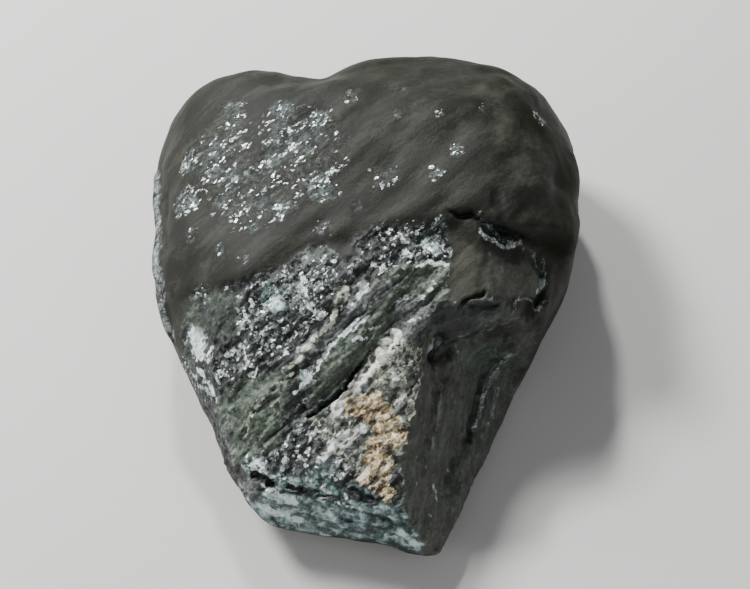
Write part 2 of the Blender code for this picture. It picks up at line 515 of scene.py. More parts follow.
CREAM_VEIN: Route = (
    (-7.5, -10.5), (-6.7, -10.3), (-6.1, -9.7), (-5.5, -9.2), (-4.7, -8.7), (-4.1, -8.3), (-3.6, -6.9),
)
FOOT_VEIN: Route = (
    (-5.5, -21.5), (-4.7, -20.9), (-3.8, -20.2), (-3.1, -19.7), (-2.3, -19.2), (-1.4, -18.6), (-0.5, -18.2),
)
LEFT_RIM: Route = (
    (-25.2, 15.3, 14), (-24.7, 11, 14.9), (-24.4, 7.4, 15.2), (-24.1, 3.7, 15.2), (-24, 1.1, 14.5),
    (-24.1, -1.1, 13.2), (-23.6, -3.2, 12.3), (-22.6, -5, 11.7),
)

# The ground that is split and not worn, seen from above.
SPLIT_GROUND: Outline = (
    (-21.5, -5.2), (-20, -2.4), (-15.9, -3.3), (-13.1, -3.1), (-11.3, -2.2), (-8.6, -1.9), (-7.6, 0.1),
    (-6.3, 0.9), (-4.5, 0.4), (-3.3, -1.2), (-2.6, -2), (-1.8, -0.2), (-1.3, 1.3), (-0.2, 2), (1.4, 2.9),
    (4.9, 2.7), (9, 2.9), (9, -5.2), (11, -5.4), (13, -4.6), (15.5, -4.4), (30, -6), (20, -36), (-20, -36),
)
# The ground around the notch, seen from above.
NOTCH_GROUND: Outline = ((9, 6), (15, 7.5), (22, 5), (23, -4), (9, -6))
# The skin that is pitted all over, seen from above.
PITTED_GROUND: Outline = (
    (-22.5, 6), (-22.5, 16), (-17.5, 20.5), (-2, 20.5), (-0.5, 12), (-6, 6), (-12, 1.5),
)
# The light wedge of ground beside the tongue, seen from above.
WEDGE: Outline = (
    (-2.5, -5.9), (-1.7, -4.8), (-0.9, -3.6), (-0.1, -3.4), (0.1, -4.8), (-0.8, -5.8), (-1.7, -6.7),
)
# The smooth split on the right of the front, seen from above.
FLANK_GROUND: Outline = (
    (6.4, -8.4), (7.2, -6.5), (8.4, -5.2), (12.5, -4.6), (16, -4.2), (30, -6), (20, -36), (6, -36),
    (6.6, -29.1), (4.1, -26.4), (3.8, -25.5), (3.9, -23.1), (3.3, -22.2), (3.3, -20.6), (3.9, -18.5),
    (4.8, -16.4), (5.7, -13.4), (5.6, -10.4),
)


@dataclass(frozen=True)
class Form:
    """The shape of the fine surface.

    Attributes:
        seed: The seed of the noise that borders and cracks wander by.
        grid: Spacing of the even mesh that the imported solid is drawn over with.
        merge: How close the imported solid's loose corners are to be one.
        rounding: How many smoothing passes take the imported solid's facets away.
        slope_grain: The way the layers run on the slope and in the skin.
        flank_grain: The way they run down the flank.
        cracks: The clefts, and where the depth is below 0 the ridges.
        ledges: The steps.
        lumps: The humps and hollows.
        break_way: The azimuth and dip in degrees that the short front break faces.
        tread: The height of a riser between the treads of the slope.
        slab: The same between the slabs of the flank.
    """

    seed: int = 1
    grid: float = 0.43
    merge: float = 0.01
    rounding: int = 4
    slope_grain: Grain = Grain((0.72, 0.56, 0.30), 5.0)
    flank_grain: Grain = Grain((-0.27, -0.82, -0.51), 3.0)
    cracks: tuple[Crack, ...] = (
        Crack(TONGUE_CRACK[:6], 0.9, -0.35),
        Crack(TONGUE_CRACK[:6], 0.34, 1.2),
        Crack(NOTCH_GAP, 0.45, 0.5),
        Crack(((14.5, 6.1, 24.2), (14.9, 4.7, 23.8), (15.2, 3.5, 23.3)), 1.0, 0.25),
        Crack(NOTCH_LIP, 0.4, -0.12),
        Crack(NOTCH_GROOVE, 0.5, 0.35),
        Crack(SCAR_SHADE, 0.4, 0.25),
        Crack(((10.1, -5.7, 19.6), (11.2, -5.0, 20.1), (12.1, -4.6, 20.1), (13.0, -4.1, 20.2)), 0.45, 0.7),
        Crack(((11.6, -5.7, 19.2), (12.8, -5.6, 19.1), (13.9, -5.4, 18.9), (14.8, -5.0, 18.6)), 0.35, 0.5),
        Crack(((13.6, 0.0, 21.2), (13.0, -1.7, 21.0), (12.8, -3.2, 20.6), (12.5, -4.4, 20.1)), 0.9, 0.14),
        Crack(((-12.9, -22.3, 10.8), (-11.7, -23.1, 10.9), (-10.6, -23.7, 10.6)), 0.6, 0.8),
        Crack(((-8.8, -23.7, 11.0), (-7.2, -24.0, 11.0)), 0.4, 0.5),
        Crack(((-1.7, -24.3, 11.6), (-0.6, -25.0, 11.5), (0.5, -25.4, 11.3)), 0.5, 0.5),
    )
    ledges: tuple[Ledge, ...] = (
        Ledge(TONGUE_BACK, 0.25, 2.0),
        Ledge(SCAR_OUTER, 0.2, 2.0),
        Ledge(SCAR_INNER, 0.15, 1.5),
        Ledge(LOW_LEDGE, -0.3, 1.5),
        Ledge(LEFT_RIM, -0.35, 1.6),
        Ledge(((-1.0, -26.3, 10.2), (1.1, -26.9, 9.8), (3.0, -27.3, 8.6)), 0.8, 1.8, 0.25),
    )
    lumps: tuple[Lump, ...] = (
        Lump((9.2, -8.0, 13.5), 1.4, -0.7),
        Lump((6.9, -8.3, 15.4), 1.5, 0.9),
    )
    break_way: tuple[float, float] = (-101, 77)
    tread: float = 0.14
    slab: float = 0.17

    def build(self) -> bpy.types.Object:
        """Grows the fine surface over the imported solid.

        Returns:
            The stone, with an attribute for each zone of ground.
        """
        noise.seed_set(self.seed)
        stone = self._copy_of_solid()
        apply_modifier(stone, "REMESH", mode="VOXEL", voxel_size=self.grid * MM)
        apply_modifier(stone, "SMOOTH", factor=0.5, iterations=self.rounding)
        self._refine_split_ground(stone)
        self._carve(stone)
        shares = self._zones(stone)
        self._roughen(stone, shares)
        ground = Ground(stone)
        for zone, share in shares.items():
            ground.mark(zone, share)
        # How hollow each point is, which the material turns into painted shade.
        ground.mark(Zone.HOLLOW, hollowness(stone))
        pick_only(stone)
        bpy.ops.object.shade_smooth()
        return stone

    def _copy_of_solid(self) -> bpy.types.Object:
        """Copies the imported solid.

        Returns:
            The copy, as one closed mesh with a name of its own.
        """
        pick_only(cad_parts[NODE])
        bpy.ops.object.duplicate()
        stone = bpy.context.active_object
        stone.name = "stone_surface"
        for key in list(stone.keys()):
            del stone[key]
        bpy.ops.object.mode_set(mode="EDIT")
        bpy.ops.mesh.select_all(action="SELECT")
        bpy.ops.mesh.remove_doubles(threshold=self.merge * MM)
        bpy.ops.object.mode_set(mode="OBJECT")
        return stone

    def _refine_split_ground(self, stone: bpy.types.Object) -> None:
        """Halves the mesh's spacing on the split ground, around the notch and where the skin is pitted.

        Args:
            stone: The object that is refined.
        """
        ground = Ground(stone)
        fine = (ground.inside(SPLIT_GROUND) > -0.5) | (ground.inside(NOTCH_GROUND) > 0)
        fine |= ground.inside(PITTED_GROUND) > 0
        fine &= ground.normals[:, 2] > -0.1
        pick_only(stone)
        bpy.ops.object.mode_set(mode="EDIT")
        bpy.ops.mesh.select_mode(type="FACE")
        bpy.ops.mesh.select_all(action="DESELECT")
        bpy.ops.object.mode_set(mode="OBJECT")
        for face in stone.data.polygons:
            face.select = all(fine[i] for i in face.vertices)
        bpy.ops.object.mode_set(mode="EDIT")
        bpy.ops.mesh.subdivide(number_cuts=1)
        bpy.ops.object.mode_set(mode="OBJECT")
        apply_modifier(stone, "SMOOTH", factor=0.5, iterations=1)

    def _carve(self, stone: bpy.types.Object) -> None:
        """Cuts the cracks, ledges, humps and hollows that have a place of their own.

        Args:
            stone: The object that is carved.
        """
        ground = Ground(stone)
        wander = sway(ground.points, 1.4, 0.35) + sway(ground.points, 0.5, 0.12)
        rise = np.zeros(len(ground.points))
        for feature in (*self.cracks, *self.ledges, *self.lumps):
            rise += feature.rise(ground, wander)
        ground.move_out(rise)

    def _zones(self, stone: bpy.types.Object) -> dict[Zone, np.ndarray]:
        """Works out where each zone of ground is.

        Args:
            stone: The object that is marked out.

        Returns:
            Each zone's share at every point.
        """
        ground = Ground(stone)
        wander = Wander(sway(ground.points, 2.5, 0.9), sway(ground.points, 0.7, 0.45))
        looks_up = smooth_step(-0.1, 0.15, ground.normals[:, 2])
        split = smooth_step(-0.6, 0.6, ground.inside(SPLIT_GROUND, wander.at(1.0))) * looks_up
        flank = smooth_step(-0.2, 0.2, ground.inside(FLANK_GROUND, wander.at(0.6))) * split
        front = smooth_step(0.66, 0.82, ground.facing(*self.break_way))
        front *= smooth_step(-19, -22, ground.points[:, 1])
        front *= smooth_step(-14.4, -13.2, ground.points[:, 0] + wander.at(1.0)[:, 0])
        shares = {Zone.SPLIT: split, Zone.FLANK: flank, Zone.BREAK: front * split * (1 - flank)}
        for zone, brushes in ZONES.items():
            shares[zone] = np.maximum(0, np.max([brush.cover(ground, wander) for brush in brushes], axis=0))
        return shares

    def _roughen(self, stone: bpy.types.Object, shares: dict[Zone, np.ndarray]) -> None:
        """Gives every zone its own roughness: treads, grains and facets on the splits, swells on the skin.

        Args:
            stone: The object that is roughened.
            shares: Each zone's share at every point.
        """
        ground = Ground(stone)
        points = ground.points
        bent = points + sway(points, 1.4, 0.3)
        along, down = self.slope_grain.folded(bent), self.flank_grain.folded(bent)
        short = Grain(self.slope_grain.along, 1.8).folded(bent)
        split, flank, front = shares[Zone.SPLIT], shares[Zone.FLANK], shares[Zone.BREAK]
        grainy = np.maximum(shares[Zone.CREAM], shares[Zone.OCHRE] * 0.8)

        treads = terraces(lumps(along, 1.3, 2) * 0.34, self.tread) + lumps(along, 0.42, 2) * 0.06
        treads *= (1 - 0.4 * grainy) * (1 - 0.3 * shares[Zone.PALE])
        clusters = crystals(short, 0.62, 1.8) * 0.18 + crystals(points, 0.40, 1.8) * 0.10
        clusters *= np.clip(0.08 + 0.28 * grainy + 0.22 * shares[Zone.GLITTER], 0, 1)
        slope = treads + clusters + lumps(bent, 1.1, 4) * 0.30 * grainy
        slabs = terraces(lumps(down, 1.7, 2) * 0.34, self.slab) * 0.6 + lumps(bent, 0.9, 3) * 0.09
        facets = crystals(bent, 2.4, 1.6) * 0.30 + crystals(bent, 0.9, 1.6) * 0.10
        swells = lumps(self.slope_grain.folded(points), 3.0, 2) * 0.12 + lumps(along, 0.9, 2) * 0.03
        knobs = lumps(bent, 0.8, 3)
        pits = (0.15 * knobs - 0.24 * smooth_step(0.15, 0.55, knobs)) * shares[Zone.PITTED]
        skin = (1 - split) * (swells + pits)
        ground.move_out(split * (1 - flank) * (1 - front) * slope + flank * slabs + front * facets + skin)


def hollowness(stone: bpy.types.Object, passes: int = 14, depth: float = 0.16) -> np.ndarray:
    """How deep each point lies below the smoothed surface around it.

    Args:
        stone: The object that is measured.
        passes: How many times the surface is smoothed for the comparison.
        depth: The depth in millimetres that counts as fully hollow.

    Returns:
        0.5 on even ground, towards 1 in a hollow and towards 0 on a ridge.
    """
    points, normals = corners_of(stone.data)
    edges = np.empty(len(stone.data.edges) * 2, int)
    stone.data.edges.foreach_get("vertices", edges)
    first, second = edges.reshape(-1, 2).T
    degree = np.bincount(edges, minlength=len(points))
    smoothed = points.copy()
    for _ in range(passes):
        total = np.zeros_like(smoothed)
        np.add.at(total, first, smoothed[second])
        np.add.at(total, second, smoothed[first])
        smoothed = total / degree[:, None]
    below = np.einsum("ij,ij->i", smoothed - points, normals)
    return 0.5 + 0.5 * np.clip(below / depth, -1, 1)


# Single pale flakes on the split ground, seen from above, painted bright enough to stand in for their glints
# as well.
FLAKES: tuple[Place, ...] = (
    (-13.2, -5.2), (-12.9, -5.7), (-12.1, -6.3), (-11.2, -6.3), (-14.6, -6), (-14.3, -4.7), (-15.9, -3.5),
    (-19.5, -2.8), (-18.8, -3.4), (-13.8, -9.7), (-11.1, -10.1), (-10.4, -9.9), (-15.3, -10.4),
    (-14.6, -10.7), (-10.1, -5.4), (-9.2, -10.7), (-4.7, -7.3), (2.8, 1.2), (3, 0.4), (5.4, 1.9),
    (0.4, -1.9), (1.8, -2), (2.4, -1.5), (4.6, -0.8), (5.4, -1.5), (8.4, 0.9), (3.9, -5.2), (7, -4.2),
    (7.3, -3.4), (6.1, -4.9), (-6.8, -21.9), (-7.5, -20.9), (-4.7, -16.6), (-10.5, -22.6), (-7.7, -18.3),
    (-2.5, -21.9), (-3, -22.9),
)
# Small pale chips down the flank.
CHIPS: tuple[Place, ...] = (
    (5.6, -20.5, 11.7), (6.6, -21.2, 10.5), (5.5, -23.5, 11.1), (10.8, -15.2, 6.4), (9.1, -19.6, 6.4),
    (7, -25.5, 7.5), (7.8, -26.3, 6.3), (6.4, -17.9, 11.6), (8.4, -11.9, 12.4),
)

# Where the skin is pitted: a place, and the radius and share of the spot around it.
PITS: tuple[Place, ...] = (
    (-20.8, 13.7, 19.8, 2.6, 1), (-21.1, 8.5, 19.6, 2.6, 1), (-16, 10.3, 22.1, 2.2, 0.9),
    (-16, 19.1, 22.4, 2.4, 0.7), (-9.6, 17.6, 24.2, 2.6, 0.7), (-9.9, 14.6, 24, 2.6, 0.8),
    (-11.2, 11, 23.2, 2.2, 0.8), (-5.3, 15.6, 24.5, 2.4, 1), (-5.4, 8.2, 23.8, 2.8, 1),
    (-9.5, 5, 22.9, 2.2, 0.9), (-12.9, 2.8, 22.3, 1.4, 0.7), (-18.7, -3, 17.2, 1.6, 1),
    (-14, -0.8, 22.1, 1, 0.7), (-16.9, 0.9, 20.8, 1, 0.8), (-20.2, 3.5, 20, 1.2, 0.8),
    (3.1, 16.5, 25.3, 0.9, 0.7), (3.9, 20.6, 24.5, 0.9, 0.7), (8.3, 16.8, 25.4, 1, 0.7),
    (13, 17.4, 25, 1, 0.8), (10, 11.8, 25, 1.3, 0.8), (7.6, 8.8, 24.8, 1.2, 0.9),
    (7.8, 3.1, 23.6, 1.4, 0.8), (2.3, 8.8, 24.4, 2.4, 0.5), (-1.2, 4.9, 23.8, 1.2, 0.7),
    (-2.1, 19.3, 25, 1.2, 0.6), (-5.1, 2.7, 23.1, 1.6, 0.7), (-17.2, 13.3, 21.9, 6.5, 0.45),
    (-13.4, 8.1, 22.4, 7, 0.45), (-7.8, 12.5, 24, 8, 0.45), (20.2, 19.1, 21, 1.5, 0.6),
)

# What each zone covers, painted shade and painted light among them.
ZONES: dict[Zone, tuple[Patch | Streak | Spot, ...]] = {
    Zone.PITTED: tuple(Spot(row[:3], *row[3:]) for row in PITS),
    Zone.GLITTER: (
        Patch(((0.2, 2.6), (3.6, 2.8), (8.8, 2.8), (9, -0.8), (5.8, -1.2), (3, -1.8), (1.2, -2.6),
            (-1.2, -1.8)), 1.6),
        Patch(((-13.7, -3.2), (-7.5, -2.3), (-4.2, -0.5), (-3, -3.5), (-4.2, -6.9), (-7.3, -10.1),
            (-10.9, -11.4), (-13.1, -12.9), (-16, -13.7), (-17.8, -11.5), (-18.3, -8.6), (-14.3, -9.3),
            (-13.9, -6)), 2),
        Patch(((-14.2, -20.1), (-9.8, -19.9), (-4.2, -20.5), (-2, -21.4), (-2, -23.3), (-7.5, -23.5),
            (-11.7, -22.9), (-13.7, -21.6)), 1.6, 0.9),
        Patch(((-9.5, -16.5), (-6.4, -17.2), (-2.5, -20), (-3, -24), (-8, -21), (-10, -19)), 1.5, 0.5),
        Spot((15.5, 2.4, 20), 1.2, 0.7), Spot((-7, -15.9, 15.3), 1.2, 0.8),
    ),
    Zone.GREEN: (
        Patch(((-20.5, -2.2), (-16.4, -3.5), (-14.3, -5), (-13.9, -6.9), (-14.5, -8.4), (-16.4, -8.4),
            (-18.7, -6.4), (-20.8, -5)), 1.2),
        Patch(((-7.1, 0.1), (-6, 0.5), (-4.5, 0), (-3.8, -1.6), (-5.1, -1.7), (-6.4, -1.5)), 0.6, 0.9),
        Patch(((-17.5, -13.5), (-10.5, -12.5), (-8, -12.5), (-9.5, -16.5), (-10, -20), (-14.8, -21),
            (-16.8, -16.5)), 1.2),
        Patch(((-6.8, -16.4), (-5.5, -12.2), (-4, -10.2), (-1.3, -8.2), (0.2, -7), (-0.2, -5.3), (0.4, -4),
            (1.4, -2.9), (3, -2), (5.8, -1.4), (8.9, -1), (9, -5.2), (7, -5.3), (4.9, -4.7), (3.4, -5.8),
            (2.6, -8.2), (-1.1, -12.5))),
        Patch(((11.7, -6.8), (13, -6.2), (15.1, -5.5), (16.6, -5.6), (17.2, -6.5), (15.1, -6.8),
            (13.8, -8.2), (11.8, -9.9), (10.9, -8.7))),
    ),
    Zone.ASH: (
        Streak(((-7.5, -11.2), (-4.7, -9.2), (-1.9, -7.2), (1, -5), (2.5, -4)), 1.2, 1.1),
        Streak(LEFT_RIM, 1.3, 0.6),
        Patch(((-6, -17), (-1.4, -13.6), (3.4, -9.2), (5.4, -10.4), (5.2, -13.6), (3.8, -17), (3, -20),
            (2, -23.5), (-2.5, -22), (-5, -19.6)), 1.2, 0.8),
        Patch(((3.4, -5.9), (4.9, -4.9), (6.7, -5.2), (6.9, -6.5), (7.6, -6.8), (6.7, -7.9), (5.8, -9.3),
            (4.1, -9.9), (3.4, -9.1), (2.7, -7.6)), 0.7, 1.3),
        Patch(WEDGE, 0.5), Streak(((10.5, -6.9, 14.8), (12.1, -6.3, 16), (13.5, -5.7, 16.9)), 0.5, 0.6),
        Streak(((15.2, -8.4, 4.8), (15, -10.2, 4.4), (14.5, -11.6, 4.4), (13.2, -14.2, 4.6)), 1.1, 0.55),
        Spot((6.9, -8.3, 15.4), 2, 1.3), Spot((-13, -23, 9.3), 1.5), Spot((-12.4, -23.8, 9.2), 1.2),
        Spot((-13.6, -22.3, 9.5), 1),
        Streak(((-16, -16.5, 12), (-15.6, -18.6, 11), (-15, -20.6, 9.8)), 0.9, 0.8),
        Spot((-3.2, -16.4, 14.9), 1.1, 0.7), Spot((-6, -16.9, 14.6), 1, 0.7),
        Spot((-7.4, -12.2, 17.5), 0.7, 0.9),
    ),
    Zone.TEAL: (
        Patch(((-11.8, -4.5), (-11, -4.4), (-10.2, -5.1), (-9.2, -5.7), (-9.1, -6.4), (-10.3, -6.6),
            (-10.8, -5.9), (-11.8, -6)), 0.5),
        Streak(((-11.2, -3.3), (-10.5, -4.1), (-9.9, -4.5), (-9.1, -5)), 0.5, 0.9),
        Patch(((-7.4, -12.5), (-6.3, -12.7), (-6, -13.4), (-7, -13.8), (-7.5, -13.4)), 0.4),
        Patch(((5.8, 0.8), (7, 1.6), (8.2, 0.9), (8.4, 0), (7.4, -0.6), (6.3, -0.2)), 0.8, 0.9),
        Streak(((-17.4, -10.8), (-17.2, -11.4), (-16.9, -12), (-16.7, -12.7)), 0.35),
        Streak(((13, 3.8, 22.8), (14, 3.4, 21.7), (14.8, 3.1, 21.1)), 0.6, 0.7),
        Streak(NOTCH_TAIL[2:], 0.4, 0.6), Streak(NOTCH_GROOVE[:3], 0.6, 0.8),
    ),
    Zone.PALE: (
        Streak(((-8, -14.6), (-7.2, -13.8), (-6.4, -13.1), (-5.6, -12.3), (-5.3, -11.6),
            (-4.7, -10.9)), 0.42, 0.75),
        Streak(((-4.7, -10.9), (-4.2, -10.2), (-3.5, -9.8), (-2.5, -9.1), (-2, -8.6)), 0.36, 0.8),
        Streak(((-2.7, -9.1), (-2, -8.3), (-1.2, -7.6)), 0.26),
        Streak(((-1.6, -8.9), (-1, -8.1), (-0.4, -7.6), (0.2, -7.2)), 0.26),
        Streak(((-1.7, -9.9), (-1.1, -9.6), (-0.2, -9.6)), 0.3),
        Streak(((0.2, -8.6), (0.8, -8.5), (1.4, -8.2)), 0.22, 0.9),
        Streak(((4.8, -7.3), (5.2, -7.1), (5.8, -7.2)), 0.28),
        Streak(((3.2, -5.7), (3.8, -5.3), (4.5, -5)), 0.34),
        Streak(((-7.4, -4.2), (-7.1, -5), (-6.5, -6), (-5.9, -6.8), (-5.3, -7.5)), 0.46, 1.6),
        Streak(((-7.2, -3), (-7, -4)), 0.32),
        Streak(((-13.7, -6.7), (-13.2, -7.5), (-12.6, -8)), 0.36, 1.1),
        Streak(((-12.6, -8.3), (-12.4, -8.9)), 0.32),
        Streak(((3.5, 1.7), (3.8, 1.1), (4.3, 0.7)), 0.4, 1.2),
        Streak(((6.7, -1.2), (7.4, -1.3), (8.1, -1), (8.9, -1.1)), 0.36, 0.9),
        Streak(((4.5, -1.4), (5.8, -1.6), (7, -1.1)), 0.4, 0.55),
        Patch(((-1.2, -4.8), (-0.5, -3.6), (0.1, -3.8), (0, -5), (-0.8, -5.7), (-1.4, -5.8)), 0.4, 0.8),
        # These three spots paint the highlight on the bright left facet.
        Spot((-20, -6.2, 14.3), 1.2, 1.4), Spot((-19.4, -7.3, 14.2), 1.5, 1.8),
        Spot((-19.1, -8.4, 13.9), 1.1, 1.5),
        Streak(((-19.3, -9.9, 12.7), (-18.5, -11.2, 13.3), (-17.9, -12.2, 13.3), (-17.1, -14, 13.1)), 0.45),
        Spot((-13.3, -21.2, 10.9), 1, 1.6), Spot((-12.4, -21.3, 11.3), 1.1, 1.6),
        Spot((-11.7, -21.4, 11.6), 0.8, 1.5), Spot((-9, -21.2, 12.3), 0.8, 1.1),
        Spot((-9.5, -22, 11.8), 0.6),
        Streak(((-5.3, -23.7, 11.5), (-4.7, -24, 11), (-4, -24.2, 10.8)), 0.35, 1.1),
        Streak(((-3.6, -25.3, 10.5), (-2.7, -25.7, 10.5), (-1.7, -26.1, 10.3)), 0.26),
        Streak(((-3.1, -24.4, 11.2), (-2.3, -25, 11.1)), 0.26),
        *(Spot(place, 0.42, 1.1) for place in FLAKES),
    ),
    # Ground painted lighter: partly paler ground, partly painted light on faces turned from the lamps, a
    # painted highlight on the left facet and along the scars, and a painted sheen on the right shoulder.
    Zone.LIGHT: (
        Patch(WEDGE, 0.5, 0.7), Streak(((-1.8, -2.3, 22.5), (-2.5, -4.2, 22.4)), 0.7, 0.6),
        Streak(((-3.3, -16.1), (-2, -14.6), (-0.6, -13), (0.9, -11.2), (2.2, -9.8), (3.3, -8.9)), 0.8),
        Spot((-19.4, -7.3, 14.2), 2.6, 1.2), Spot((6.9, -8.3, 15.4), 1.5, 0.8),
        Streak(SCAR_OUTER, 0.36, 1.3), Streak(CREAM_VEIN, 0.8, 0.3),
        Streak(((8.5, -11.6, 12.4), (8, -14.5, 12.1), (7.8, -16.5, 11.1), (7.3, -18.7, 10.7)), 0.34, 1.1),
        Streak(((-20.4, -9.1, 10.9), (-19.6, -10.4, 11.3), (-18.7, -12, 12.1), (-17.8, -13.3, 12.4)), 0.7),
        Spot((-10.6, -5.2, 20.8), 1.7, 0.6), Spot((-9.1, -3.4, 21.6), 1.4, 0.6),
        Spot((-12.2, -3.4, 21.2), 1.1, 0.5), Spot((7.2, 0.4, 22.3), 1.5, 0.7),
        Spot((-6.6, -13.3, 17), 1, 0.4), Spot((-3.8, -21.8, 12.6), 1.4, 0.5),
        Spot((-12.4, -21.3, 11.5), 1.5, 0.8), Spot((0.4, -22.6, 12.6), 1, 0.6), Streak(FOOT_VEIN, 0.7),
        Streak(((-11.1, -24.1, 10), (-9.8, -24.2, 9.6), (-8.5, -24.6, 9.5)), 0.9),
        Streak(((-11.9, -24.6, 7.6), (-10.4, -25, 6.7), (-9, -25.1, 6.8), (-7.9, -25.6, 6)), 0.7),
        # Painted light on the tile, which faces away from the key light.
        Patch(((9.2, 2.3), (11.2, 1.4), (13.1, 0.3), (15.5, 0.4), (18.7, 1.6), (20.5, 0.6), (18.9, -0.9),
            (16.1, -3.1), (13.7, -4.8), (10.9, -6.2), (9.2, -5.8)), 1.5, 0.7),
        Patch(((13.9, 0), (15.5, 0.4), (18.9, 1.6), (20.6, 0.4), (18.6, -1.9), (16.1, -3.1),
            (13.7, -4.4)), 1, 1.5),
        # Painted sheen along the right shoulder.
        Streak(((14.5, 20.5, 24.2), (16.5, 16.5, 24), (17, 11.5, 23.7)), 3, 0.25),
        Streak(((3, -27.6, 7.6), (5.4, -28.9, 6)), 0.9, 0.5), Streak(SCAR_OUTER[:4], 1.2, 0.3),
    ),
    Zone.CREAM: (
        Patch(((-6.6, -17.2), (-1.4, -13.2), (3.6, -8.4), (6, -9.8), (5.8, -13.2), (4.2, -17), (3.6, -20),
            (2.6, -24.5), (-2.5, -22.5), (-5, -20)), 1.6, 0.5),
        Streak(FOOT_VEIN[:6], 0.5, 0.9),
        Streak(((2.6, -10.4), (1.6, -12.6), (0.4, -14.6), (-1.2, -16)), 1, 0.7),
        Streak(((-3.6, -16), (-2.3, -14.8), (-0.9, -13.2), (0.7, -11.1), (2, -9.7), (3.1, -8.6)), 0.8, 1.4),
        Streak(SPINE, 0.6, 1.4),
        Patch(((-4, -6.2), (-3.3, -4.7), (-2.6, -4.2), (-1.9, -4.4), (-2, -5.5), (-3, -6.8),
            (-3.6, -6.8)), 0.6, 0.8),
        Streak(CREAM_VEIN, 0.4, 0.86),
        Streak(((-9.4, -12.4), (-8.6, -12), (-7.8, -11.5), (-7.2, -11.3)), 0.38, 1.1),
        Streak(((-13.9, -18.5), (-13.2, -17.2)), 0.28, 1.2),
        Streak(((-13.2, -16.9), (-11.7, -15), (-10.3, -14.1), (-9.7, -13.5), (-9, -13.1),
            (-8.3, -12.8)), 0.34, 1.3),
        Streak(((-10.7, -15.7), (-9.9, -15.5)), 0.24),
    ),
    Zone.OCHRE: (
        Streak(((-0.2, -16.1, 15.5), (1.4, -16.8, 15.2), (2.2, -18.9, 14.6)), 2.9, 0.72),
        Streak(((2.2, -18.9, 14.6), (1.4, -20.6, 13.8), (0.8, -22.9, 12.7)), 2.4, 0.66),
        Spot((1.9, -24.9, 11.9), 1.9, 0.72),
    ),
    # A darker olive tone on the back and the right side; on the right side it also paints the shade of a side
    # turned from the key light.
    Zone.OLIVE: (
        Spot((3.8, 27.5, 19.9), 7, 0.7), Spot((15.9, 26.2, 18.8), 8, 0.8), Spot((11, 18.5, 24.6), 4, 0.5),
        Streak(((19.6, 19.2, 21.4), (23.5, 16, 18.1), (23.9, 10.3, 18.1), (23.1, 4.7, 17.3)), 5, 0.9),
    ),
    # Rims, lips, scars and chips: pale worn edges, and painted highlights where the left rim and the scars
    # catch the light.
    Zone.EDGE: (
        Streak(LEFT_RIM, 0.7, 0.66), Streak(((11.6, 4, 22.7), (12.2, 4, 23), (12.6, 4.2, 23.6)), 0.4, 0.6),
        Streak(NOTCH_LIP, 0.6, 0.94), Streak(NOTCH_TAIL, 0.45, 0.52),
        Streak(((13.7, -0.1, 21.1), (14, 0.7, 21), (14.6, 1.4, 20.6)), 0.4, 0.5),
        Streak(((20.2, 3.3, 15.2), (20.5, 2.6, 14.5), (20.6, 1.6, 14.1), (20.7, 0.6, 14)), 0.45, 0.45),
        Streak(LOW_LEDGE, 0.45, 0.72), Streak(SCAR_OUTER, 0.38, 1.25),
        Streak(((3.3, -22.2, 13.2), (3.9, -23.1, 12.8), (3.8, -25.5, 11.4), (4.9, -27.2, 9.9)), 0.3, 0.7),
        Streak(((9.9, -7.3, 13.8), (10.4, -7.5, 12.4), (10.3, -8.3, 12)), 0.35, 0.7),
        Streak(((7.3, -22.5, 8.8), (7.7, -23, 8), (7.9, -23.6, 7.1)), 0.32),
        *(Spot(place, 0.36, 0.9) for place in CHIPS),
    ),
    # Partly dark ground, partly painted shade: in the tongue crack, the notch's gap, slot and groove, along
    # the scars, in the pit and in the crevices of the front.
    Zone.DARK: (
        Streak(((7.6, -6.5, 19.3), (9.8, -6, 18.9), (12.4, -5.7, 18.6), (14.2, -5.3, 18.2)), 1.4, 1.05),
        Streak(((8.4, -7.1, 17.2), (10, -6.7, 17), (11.6, -6.4, 16.8)), 1.3),
        Spot((9.3, -7.8, 13.4), 1.5, 1.1), Spot((9.4, -7.2, 15.4), 1.2),
        Streak(TONGUE_CRACK[:7], 0.32, 1.3),
        Streak(((10.7, 4.3, 23.1), (11.5, 4.4, 23.5), (12.5, 4.7, 23.9)), 0.35, 0.9),
        Streak(((14.8, 2.9, 21), (15.6, 3.1, 20.4), (16.4, 3.7, 19.4), (17.4, 3.9, 19)), 0.5),
        Streak(NOTCH_GROOVE, 0.35, 0.8), Streak(SCAR_SHADE, 0.3, 0.8),
        Patch(((-20, -3.4), (-15.5, -4.2), (-14.4, -6), (-14.6, -9.4), (-17.6, -8.3),
            (-19.8, -5.6)), 1, 0.95),
        Streak(((-3, -2.4), (-3.4, -3.5), (-4.2, -4.1), (-5.1, -4.5)), 0.35, 0.9),
        Streak(((-6.9, -5.3), (-6.1, -6.4), (-5.3, -7.1)), 0.3, 0.7),
        Streak(((-17.3, -9.6), (-15.6, -9.4), (-15.2, -11)), 0.7, 0.5),
        Streak(((-9.4, -22.4, 11.5), (-8.6, -22.6, 11.5), (-7.8, -22.7, 11.7),
            (-7.2, -22.4, 12.1)), 0.45, 0.8),
        Streak(((-13.1, -24.3, 8), (-12.5, -24.2, 9.3), (-11.5, -23.7, 10.2)), 0.35, 0.9),
        Streak(((-0.4, -26.4, 10.1), (0.8, -26.7, 9.9), (1.9, -26.8, 9.3), (2.7, -27.1, 8.5)), 0.4, 0.9),
        Streak(((-2.3, -24.2, 11.6), (-1.3, -24.5, 11.6), (-0.4, -25.1, 11.4)), 0.35, 0.9),
        Streak(((0.4, -23.8, 12.3), (1, -23.3, 12.6), (1.5, -23.6, 12.4)), 0.35, 0.8),
    ),
}


